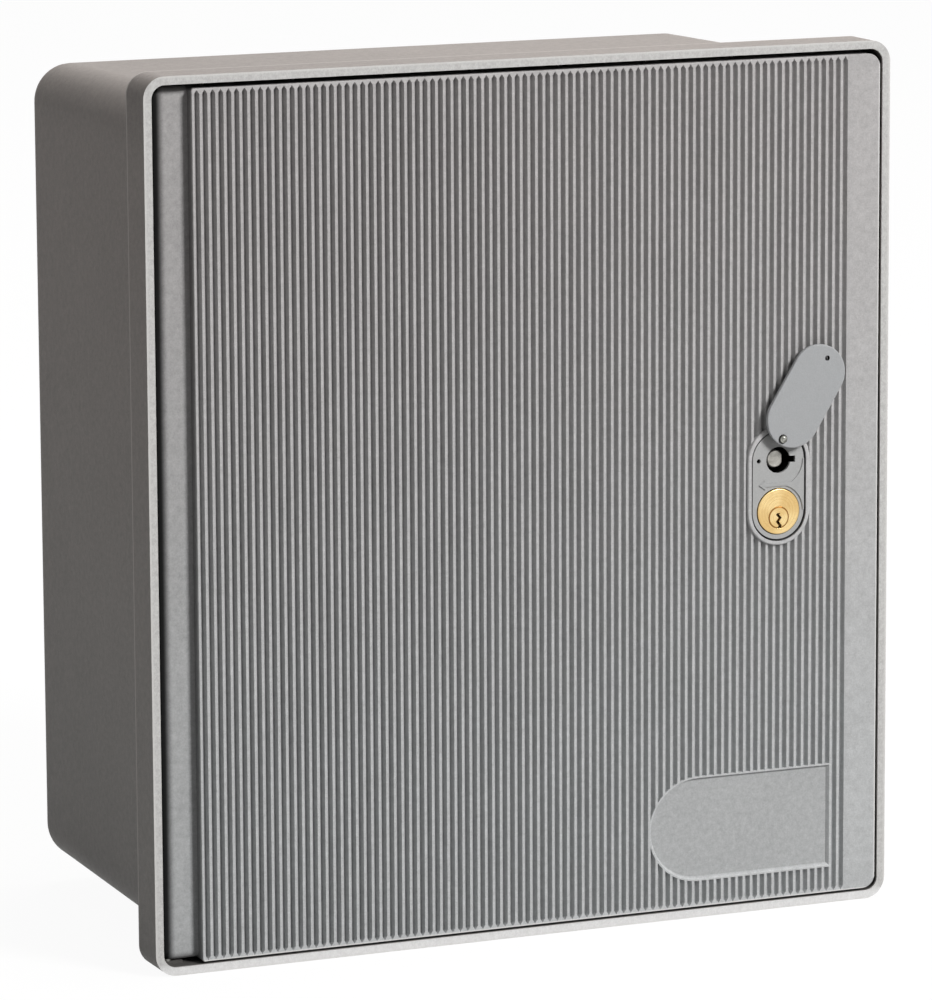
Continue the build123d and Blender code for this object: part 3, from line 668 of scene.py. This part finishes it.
        # Painted shade: the strongest of the grooves', the strip's, the lock opening's and the gap walls'.
        dusk = graph.math("MAXIMUM", self.groove_dusk(graph, across, depth), self.strip_dusk(graph, across))
        dusk = graph.math("MAXIMUM", dusk, self.lock_dusk(graph, across, depth, up))
        from_right = graph.math("SUBTRACT", self.right, across)
        inset = graph.math("MINIMUM", from_right, graph.math("SUBTRACT", up, self.low))
        dusk = graph.math("MAXIMUM", dusk, self.edge_dusk(graph, inset, depth))
        colour = graph.shade(graph.math("SUBTRACT", 1.0, dusk), colour)
        # Painted highlight along the leaf's front edge.
        colour = graph.mix(self.edge_painted_highlight(graph, inset, depth), colour, self.edge_highlight_tone)
        self.base.finish(graph, shader, colour, blotch)
        return material


@dataclass(frozen=True)
class SunkPlate:
    """Moulded plate whose holes and gap are painted dark inside, as painted shade."""

    base: MouldedCompound
    front_y: float
    clear_depth: float = 0.0010
    dark_depth: float = 0.0022
    shade_colour: Colour = srgb(30, 30, 30)

    def material(self) -> bpy.types.Material:
        """Builds the material."""
        material, graph, shader = new_material(self.base.name)
        colour, blotch = self.base.colour(graph)
        _, depth, _ = graph.split(graph.object_point())
        deep = graph.ramp(depth, self.front_y + self.clear_depth, self.front_y + self.dark_depth)
        # Painted shade deep in the holes and the gap.
        colour = graph.mix(deep, colour, self.shade_colour)
        self.base.finish(graph, shader, colour, blotch)
        return material


@dataclass(frozen=True)
class CoverPaint:
    """Smooth paint on the front of the cover; its back and the inside of its small hole are painted dark, as
    painted shade.
    """

    base: MouldedCompound
    back_y: float
    hole: tuple[float, float]
    hole_radius: float = 0.00145
    shade_colour: Colour = srgb(38, 38, 38)

    def material(self) -> bpy.types.Material:
        """Builds the material."""
        material, graph, shader = new_material(self.base.name)
        colour, blotch = self.base.colour(graph)
        across, depth, up = graph.split(graph.object_point())
        aside = graph.math("SUBTRACT", across, self.hole[0])
        along = graph.math("SUBTRACT", up, self.hole[1])
        in_hole = graph.math("LESS_THAN", graph.reach(aside, along), self.hole_radius)
        back_shade = graph.ramp(depth, self.back_y - 0.0006, self.back_y - 0.0001)
        # Painted shade on the back and inside the small hole.
        colour = graph.mix(graph.math("MAXIMUM", in_hole, back_shade), colour, self.shade_colour)
        self.base.finish(graph, shader, colour, blotch)
        return material


@dataclass(frozen=True)
class TurnedMetal:
    """Metal with concentric tool marks round an axis along the depth, a painted bow-tie sheen, and a darker
    rim where one is set.
    """

    name: str
    colour: Colour
    shade: Colour
    centre: tuple[float, float]
    roughness: float = 0.28
    mark_depth: float = 0.00004
    scale: float = 2600.0
    sheen_turn: float = 1.9
    rim_radius: float = 1.0
    rim_width: float = 0.0006
    rim_colour: Colour = (0.02, 0.02, 0.02)
    edge_radius: float = 0.0003
    stain_scale: float = 300.0

    def material(self) -> bpy.types.Material:
        """Builds the material."""
        material, graph, shader = new_material(self.name)
        point = graph.object_point(centre=(self.centre[0], 0.0, self.centre[1]))
        across, _, up = graph.split(point)
        turned = TURNED.place(graph, Across=across, Up=up, Scale=self.scale, Turn=self.sheen_turn)
        marks = turned["Marks"]
        stain = graph.noise(graph.object_point(), self.stain_scale, 2.0, 0.6)
        tone = graph.mix(graph.ramp(marks, 0.40, 0.66, 0.0, 0.75), self.colour, self.shade)
        # Painted reflection: darker across the bow-tie where the sheen is low.
        tone = graph.mix(graph.ramp(turned["Sheen"], 0.1, 0.9, 0.40, 0.0), tone, self.shade)
        tone = graph.mix(graph.ramp(stain, 0.45, 0.75, 0.0, 0.2), tone, self.shade)
        rim = graph.ramp(turned["Radius"], self.rim_radius, self.rim_radius + self.rim_width)
        tone = graph.mix(rim, tone, self.rim_colour)
        normal = bump(graph, marks, self.mark_depth, soft_edges(graph, self.edge_radius))
        graph.set(shader, Base_Color=tone, Normal=normal, Metallic=1.0)
        graph.set(shader, Roughness=uneven_roughness(graph, marks, self.roughness))
        return material


@dataclass(frozen=True)
class PlatedSteel:
    """Zinc or nickel plated steel with a faint crystalline stain."""

    name: str
    colour: Colour
    shade: Colour
    roughness: float = 0.38
    crystal_scale: float = 420.0
    stain_scale: float = 120.0
    crystal_share: float = 0.22
    stain_share: float = 0.78
    scratch_depth: float = 0.00002
    edge_radius: float = 0.00025

    def material(self) -> bpy.types.Material:
        """Builds the material."""
        material, graph, shader = new_material(self.name)
        point = graph.object_point()
        cells = graph.add("TexVoronoi", feature="F1")
        graph.set(cells, Vector=point, Scale=self.crystal_scale)
        stain = graph.noise(point, self.stain_scale, 4.0, 0.6)
        _, _, tint = graph.split(cells.outputs["Color"])
        blend = graph.math("ADD", graph.math("MULTIPLY", tint, self.crystal_share),
                           graph.math("MULTIPLY", stain, self.stain_share))
        tone = graph.mix(graph.ramp(blend, 0.3, 0.75), self.colour, self.shade)
        scratch = graph.noise(graph.object_point(stretch=(2400, 2400, 120)), 1.0, 2.0, 0.5)
        normal = bump(graph, scratch, self.scratch_depth, soft_edges(graph, self.edge_radius))
        graph.set(shader, Base_Color=tone, Metallic=1.0, Normal=normal)
        graph.set(shader, Roughness=uneven_roughness(graph, stain, self.roughness))
        return material


@dataclass(frozen=True)
class Rubber:
    """Matt black rubber with a dusty bloom."""

    name: str
    colour: Colour
    bloom_scale: float = 90.0
    bloom_tone: Colour = srgb(96, 96, 94)
    bloom_share: float = 0.35
    skin_scale: float = 1600.0
    skin_depth: float = 0.00005

    def material(self) -> bpy.types.Material:
        """Builds the material."""
        material, graph, shader = new_material(self.name)
        bloom = graph.noise(graph.object_point(), self.bloom_scale, 4.0, 0.65)
        dusty = graph.mix(graph.ramp(bloom, 0.45, 0.8, 0.0, self.bloom_share), self.colour, self.bloom_tone)
        fine = graph.noise(graph.object_point(), self.skin_scale, 2.0, 0.5)
        graph.set(shader, Base_Color=dusty, Normal=bump(graph, fine, self.skin_depth))
        graph.set(shader, Roughness=graph.ramp(bloom, 0.3, 0.8, 0.62, 0.85))
        return material


@dataclass
class Studio:
    """Camera, lamps, floor and background."""

    eye: tuple[float, float, float] = (-1.29003, -3.17524, 0.58853)
    yaw: float = 0.4023
    pitch: float = 0.1805
    roll: float = 0.0053
    focal_px: float = 5977.5
    image_px: tuple[int, int] = (932, 1000)
    floor_z: float = -0.2442
    ambient: float = 0.105
    backdrop: float = 1.0
    paper: Colour = (0.32, 0.32, 0.32)
    paper_glow: float = 1.18
    paper_share: float = 0.80
    paper_cloud: float = 1.03
    floor_side: float = 14.0
    sensor_mm: float = 36.0
    sight: float = 50.0
    aim: tuple[float, float, float] = (0.0, -0.15, 0.0)

    def camera(self) -> None:
        """Places the camera where the photograph was taken from."""
        sin_yaw, cos_yaw = math.sin(self.yaw), math.cos(self.yaw)
        sin_pitch, cos_pitch = math.sin(self.pitch), math.cos(self.pitch)
        forward = Vector((sin_yaw * cos_pitch, cos_yaw * cos_pitch, -sin_pitch))
        right = Vector((cos_yaw, -sin_yaw, 0.0))
        down = forward.cross(right)
        sin_roll, cos_roll = math.sin(self.roll), math.cos(self.roll)
        turned_right = right * cos_roll + down * sin_roll
        turned_down = down * cos_roll - right * sin_roll
        data = bpy.data.cameras.new("camera")
        data.sensor_width = self.sensor_mm
        data.lens = self.sensor_mm * self.focal_px / max(self.image_px)
        data.clip_end = self.sight
        camera = bpy.data.objects.new("camera", data)
        bpy.context.scene.collection.objects.link(camera)
        turn = Matrix((turned_right, -turned_down, -forward)).transposed().to_4x4()
        camera.matrix_world = Matrix.Translation(self.eye) @ turn
        bpy.context.scene.camera = camera

    def lamp(self, name: str, place: Sequence[float], size: float, power: float, colour: Colour) -> None:
        """Adds a soft square lamp that looks at the object.

        Args:
            name: name of the lamp.
            place: its place in metres.
            size: its side in metres.
            power: its power in watts.
            colour: colour of its light.
        """
        data = bpy.data.lights.new(name, "AREA")
        data.shape = "SQUARE"
        data.size = size
        data.energy = power
        data.color = colour
        lamp = bpy.data.objects.new(name, data)
        bpy.context.scene.collection.objects.link(lamp)
        turn = (Vector(self.aim) - Vector(place)).to_track_quat("-Z", "Y").to_matrix().to_4x4()
        lamp.matrix_world = Matrix.Translation(place) @ turn

    def world(self) -> None:
        """White to the eye, pale in reflections and dim as a light."""
        world = bpy.data.worlds.new("studio")
        bpy.context.scene.world = world
        world.use_nodes = True
        world.node_tree.nodes.clear()
        graph = Graph(world.node_tree)
        path = graph.add("LightPath")
        seen = graph.math("MAXIMUM", path.outputs["Is Camera Ray"], path.outputs["Is Glossy Ray"])
        seen = graph.math("MAXIMUM", seen, path.outputs["Is Transmission Ray"])
        strength = graph.math("MAXIMUM", graph.math("MULTIPLY", seen, self.backdrop), self.ambient)
        background = graph.add("Background")
        graph.set(background, Color=(1.0, 1.0, 1.0), Strength=strength)
        output = graph.add("OutputWorld")
        world.node_tree.links.new(background.outputs[0], output.inputs[0])

    def floor(self) -> None:
        """Adds the white floor that keeps a soft shadow."""
        bpy.ops.object.select_all(action="DESELECT")
        bpy.ops.mesh.primitive_plane_add(size=self.floor_side, location=(0, 0, self.floor_z))
        floor = bpy.context.object
        floor.name = "floor"
        material, graph, shader = new_material("floor_paper")
        tone = graph.noise(graph.object_point(), 3.0, 2.0)
        lighter = tuple(channel * self.paper_cloud for channel in self.paper)
        graph.set(shader, Base_Color=graph.mix(tone, self.paper, lighter), Roughness=0.9)
        path = graph.add("LightPath")
        glow = graph.add("Emission")
        glow.inputs["Strength"].default_value = self.paper_glow
        blend = graph.add("MixShader")
        seen = graph.math("MAXIMUM", path.outputs["Is Camera Ray"], path.outputs["Is Glossy Ray"])
        graph.feed(blend.inputs[0], graph.math("MULTIPLY", seen, self.paper_share))
        material.node_tree.links.new(shader.outputs[0], blend.inputs[1])
        material.node_tree.links.new(glow.outputs[0], blend.inputs[2])
        output = next(node for node in material.node_tree.nodes if node.type == "OUTPUT_MATERIAL")
        material.node_tree.links.new(blend.outputs[0], output.inputs[0])
        floor.data.materials.append(material)

    def build(self) -> None:
        """Builds the whole studio."""
        bpy.context.scene.view_settings.view_transform = "Standard"
        self.camera()
        self.world()
        self.floor()
        self.lamp("key", place=(3.4, -5.95, 4.3), size=2.0, power=585.0, colour=(1.0, 0.99, 0.98))
        self.lamp("overhead", place=(0.6, 0.3, 4.0), size=1.6, power=70.0, colour=(1.0, 0.97, 0.94))


def dress(node: str, material: bpy.types.Material) -> None:
    """Gives a CAD node its material.

    Args:
        node: name of the node.
        material: the finish.
    """
    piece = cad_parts[node]
    if not piece.material_slots:
        piece.data.materials.append(material)
    for slot in piece.material_slots:
        slot.material = material
    log.info("dressed %s with %s", node, material.name)


def solid_boxes(piece: bpy.types.Object) -> list[tuple[Vector, Vector]]:
    """Corners of each separate solid of a piece.

    Args:
        piece: the piece, with its place in its mesh.

    Returns:
        The lowest and highest corner of each solid.
    """
    mesh = bmesh.new()
    mesh.from_mesh(piece.data)
    bmesh.ops.remove_doubles(mesh, verts=mesh.verts, dist=MERGE_DISTANCE)
    waiting = set(mesh.verts)
    boxes = []
    while waiting:
        front = [waiting.pop()]
        points = []
        while front:
            vertex = front.pop()
            points.append(vertex.co.copy())
            for edge in vertex.link_edges:
                other = edge.other_vert(vertex)
                if other in waiting:
                    waiting.discard(other)
                    front.append(other)
        low = Vector(min(point[axis] for point in points) for axis in range(3))
        high = Vector(max(point[axis] for point in points) for axis in range(3))
        boxes.append((low, high))
    mesh.free()
    return sorted(boxes, key=lambda corners: tuple(corners[0]))


def front_centre(box: Sequence[Sequence[float]]) -> tuple[float, float]:
    """Middle of a box as the front view shows it.

    Args:
        box: lowest and highest corner.

    Returns:
        Its place to the right and its height, in metres.
    """
    low, high = box
    return (low[0] + high[0]) / 2, (low[2] + high[2]) / 2


@dataclass
class RecessedScrews:
    """The screws of one CAD node, each with a cross recess in its head."""

    node: str
    body: str
    slot: str
    facing: Facing
    span: float = 0.0044
    slit: float = 0.0010
    depth: float = 0.0014
    smooth_angle: float = math.radians(35.0)

    def copy_of_node(self) -> bpy.types.Object:
        """A merged copy of the node's mesh, as a piece of its own."""
        bpy.ops.object.select_all(action="DESELECT")
        piece = bpy.data.objects.new(self.node + "_recessed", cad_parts[self.node].data.copy())
        bpy.context.scene.collection.objects.link(piece)
        piece.data.materials.clear()
        piece.select_set(True)
        bpy.context.view_layer.objects.active = piece
        bpy.ops.object.mode_set(mode="EDIT")
        bpy.ops.mesh.select_all(action="SELECT")
        bpy.ops.mesh.remove_doubles(threshold=MERGE_DISTANCE)
        bpy.ops.mesh.normals_make_consistent(inside=False)
        bpy.ops.object.mode_set(mode="OBJECT")
        return piece

    def slit_size(self, upright: bool) -> tuple[float, float, float]:
        """Size of one slit of the cross, which reaches as far out of the head as into it."""
        longer, shorter = (self.slit, self.span) if upright else (self.span, self.slit)
        if self.facing is Facing.LEFT:
            return 2 * self.depth, longer, shorter
        return longer, 2 * self.depth, shorter

    def cut(self, piece: bpy.types.Object, places: Sequence[Vector], upright: bool) -> None:
        """Cuts one slit of the cross in every head.

        Args:
            piece: the screws.
            places: middle of each head's face.
            upright: cuts the upright slit, not the level one.
        """
        bpy.ops.object.select_all(action="DESELECT")
        blades = []
        for place in places:
            bpy.ops.mesh.primitive_cube_add(size=1.0, location=place, scale=self.slit_size(upright))
            blades.append(bpy.context.object)
        for blade in blades:
            blade.select_set(True)
        bpy.context.view_layer.objects.active = blades[0]
        if len(blades) > 1:
            bpy.ops.object.join()
        blade = bpy.context.object
        modifier = piece.modifiers.new("slit", "BOOLEAN")
        modifier.operation = "DIFFERENCE"
        modifier.solver = "EXACT"
        modifier.object = blade
        bpy.ops.object.select_all(action="DESELECT")
        bpy.context.view_layer.objects.active = piece
        piece.select_set(True)
        bpy.ops.object.modifier_apply(modifier=modifier.name)
        bpy.data.objects.remove(blade)

    def build(self, material: bpy.types.Material) -> None:
        """Makes the screws and puts them in the node's place."""
        piece = self.copy_of_node()
        places = []
        for low, high in solid_boxes(piece):
            middle = (low + high) / 2
            reach = (high - low) / 2
            direction = Vector(self.facing.value)
            places.append(middle + Vector(reach[axis] * direction[axis] for axis in range(3)))
        for upright in (True, False):
            self.cut(piece, places, upright)
        piece.data.materials.append(material)
        bpy.ops.object.shade_smooth_by_angle(angle=self.smooth_angle)
        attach(piece, self.body)
        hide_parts(self.node)
        log.info("cut %d cross recesses in %s", len(places), self.node)


@dataclass
class Shell:
    """The moulded box and everything fixed in it."""

    compound: MouldedCompound = MouldedCompound("housing_compound", srgb(175, 168, 164), srgb(172, 169, 166),
                                                specular=0.05)
    zinc: PlatedSteel = PlatedSteel("zinc_plating", srgb(196, 196, 190), srgb(170, 170, 165))
    insert: PlatedSteel = PlatedSteel("insert_brass", srgb(208, 170, 100), srgb(160, 124, 66), 0.4)
    board: MouldedCompound = MouldedCompound("board_compound", srgb(188, 187, 182), srgb(184, 184, 180),
                                             roughness=0.55)
    grommet: Rubber = Rubber("grommet_rubber", srgb(38, 38, 38))
    board_recess_span: float = 0.0060
    board_recess_slit: float = 0.0013

    def build(self) -> None:
        """Dresses the box."""
        low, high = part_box("housing")
        rim = TrimmedRim(self.compound, low[1], high[0], high[2])
        dress("housing", rim.material())
        zinc = self.zinc.material()
        for node in ("lower_hinge_pin", "upper_hinge_pin", "keeper_plate"):
            dress(node, zinc)
        RecessedScrews("keeper_screws", "housing", "zinc_steel", Facing.LEFT).build(zinc)
        RecessedScrews("board_screws", "housing", "zinc_steel", Facing.FRONT, span=self.board_recess_span,
                       slit=self.board_recess_slit).build(zinc)
        dress("meter_board", self.board.material())
        dress("board_inserts", self.insert.material())
        rubber = self.grommet.material()
        for node in ("left_cable_grommet", "right_cable_grommet"):
            dress(node, rubber)


@dataclass
class DoorLeaf:
    """The ribbed door."""

    # The foot grey is lighter than the top grey: painted light that evens out the key lamp's falloff down the
    # door.
    compound: MouldedCompound = MouldedCompound("door_compound", srgb(181, 179, 179), srgb(187, 189, 190),
                                                roughness=0.48, fibres=0.3)
    ring_rise: float = 0.0016
    lock_axis_spacing: float = 0.029

    def build(self) -> None:
        """Dresses the door."""
        low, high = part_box("door")
        centre = front_centre(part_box("lock_plate"))
        leaf = RibbedLeaf(self.compound, low[1] + self.ring_rise, low[0], high[0], low[2], centre,
                          self.lock_axis_spacing)
        dress("door", leaf.material())


@dataclass
class LockGroup:
    """Lock plate, cylinder, spindle, cover and the latch behind them."""

    plate: MouldedCompound = MouldedCompound("lock_plate_plastic", srgb(178, 179, 179), srgb(178, 179, 179),
                                             roughness=0.42, cloud=0.04, blotch=0.14, grain=0.16, fibres=0.1)
    cover: MouldedCompound = MouldedCompound("cover_paint", srgb(174, 176, 178), srgb(174, 176, 178),
                                             roughness=0.40, cloud=0.04, blotch=0.12, grain=0.16, fibres=0.0)
    zinc: PlatedSteel = PlatedSteel("latch_zinc", srgb(196, 196, 190), srgb(170, 170, 165))
    casting: PlatedSteel = PlatedSteel("spindle_casting", srgb(190, 188, 182), srgb(150, 148, 143), 0.55)
    case: MouldedCompound = MouldedCompound("case_plastic", srgb(40, 40, 40), srgb(40, 40, 40),
                                            roughness=0.45, fibres=0.0)
    rivet_to_hole: float = 0.0515
    boss_rise: float = 0.0026
    plug_radius: float = 0.0062
    plug_rim_inset: float = 0.0009
    plug_rim_width: float = 0.0004
    rivet_radius: float = 0.0026
    rivet_rim_place: float = 0.55
    rivet_rim_share: float = 0.4
    latch_recess_span: float = 0.0042

    def build(self) -> None:
        """Dresses the lock."""
        plate_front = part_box("lock_plate")[0][1]
        dress("lock_plate", SunkPlate(self.plate, plate_front + self.boss_rise).material())
        dress("lock_cover", self.cover_finish().material())
        centre = front_centre(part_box("cylinder_body"))
        brass = TurnedMetal("lock_brass", srgb(252, 226, 168), srgb(196, 152, 82), centre).material()
        dress("cylinder_body", brass)
        dress("cylinder_nut", brass)
        plug_centre = front_centre(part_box("cylinder_plug"))
        plug = TurnedMetal("plug_brass", srgb(250, 226, 170), srgb(206, 164, 94), plug_centre, sheen_turn=0.6,
                           rim_radius=self.plug_radius - self.plug_rim_inset, rim_width=self.plug_rim_width,
                           rim_colour=srgb(150, 104, 50))
        dress("cylinder_plug", plug.material())
        # The rivet's dark shade colour, bow-tie sheen and dark rim are a painted reflection on its dome.
        rivet = TurnedMetal("nickel_plating", srgb(196, 196, 188), srgb(52, 52, 48), self.rivet_centre(),
                            roughness=0.14, scale=1300.0, sheen_turn=-1.2,
                            rim_radius=self.rivet_radius * self.rivet_rim_place,
                            rim_width=self.rivet_radius * self.rivet_rim_share,
                            rim_colour=srgb(40, 40, 38))
        dress("cover_rivet", rivet.material())
        zinc = self.zinc.material()
        for node in ("cylinder_cam", "latch_arm", "cover_washer"):
            dress(node, zinc)
        screws = (("lock_case_screws", "door"), ("cam_screw", "cylinder_core"), ("latch_screw", "latch"))
        for node, body in screws:
            RecessedScrews(node, body, "zinc_steel", Facing.BACK, span=self.latch_recess_span).build(zinc)
        dress("key_spindle", self.casting.material())
        dress("lock_case", self.case.material())

    def rivet_centre(self) -> tuple[float, float]:
        """Place of the cover's rivet in front view."""
        return front_centre(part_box("cover_rivet"))

    def cover_finish(self) -> CoverPaint:
        """Paint of the cover, with the small hole found along the line from the rivet to the far end."""
        cover_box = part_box("lock_cover")
        rivet = Vector(self.rivet_centre())
        middle = Vector(front_centre(cover_box))
        hole = rivet + (middle - rivet).normalized() * self.rivet_to_hole
        return CoverPaint(self.cover, cover_box[1][1], (hole[0], hole[1]))


def main() -> None:
    """Builds the studio and the object's finishes in order."""
    Studio().build()
    for part in (Shell(), DoorLeaf(), LockGroup()):
        part.build()
        log.info("built %s", type(part).__name__)


if __name__ == "__main__":
    main()
